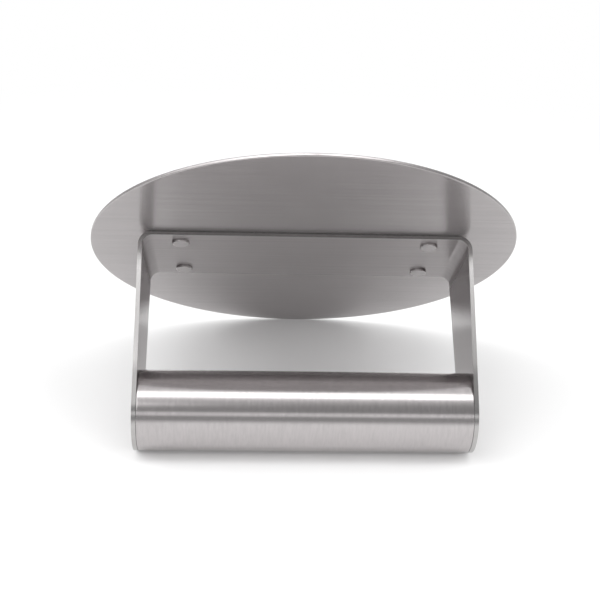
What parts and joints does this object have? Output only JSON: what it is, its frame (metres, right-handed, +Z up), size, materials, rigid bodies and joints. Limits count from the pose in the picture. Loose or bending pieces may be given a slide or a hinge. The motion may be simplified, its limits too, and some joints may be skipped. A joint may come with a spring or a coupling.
{
  "type": "burger press",
  "caption": "Round flat steel burger press with a bent flat-bar handle bracket, a round grip tube between its legs and studs that hold the bracket to the plate.",
  "frame": {"origin": "centre of the plate's underside, the face that presses", "axes": "+Z up out of the plate towards the grip, +X along the grip"},
  "size_m": [0.155, 0.155, 0.0752],
  "materials": {
    "press_plate": "straight brushed grain along the grip",
    "handle_bracket": "straight brushed grain along the bar",
    "grip_tube": "fine brushed grain around the tube",
    "studs": "plain flat heads with bright sides"
  },
  "bodies": {
    "root": {"press_plate": "press_plate", "handle_bracket": "handle_bracket", "grip_tube": "grip_tube", "studs": "studs"}
  },
  "joints": []
}
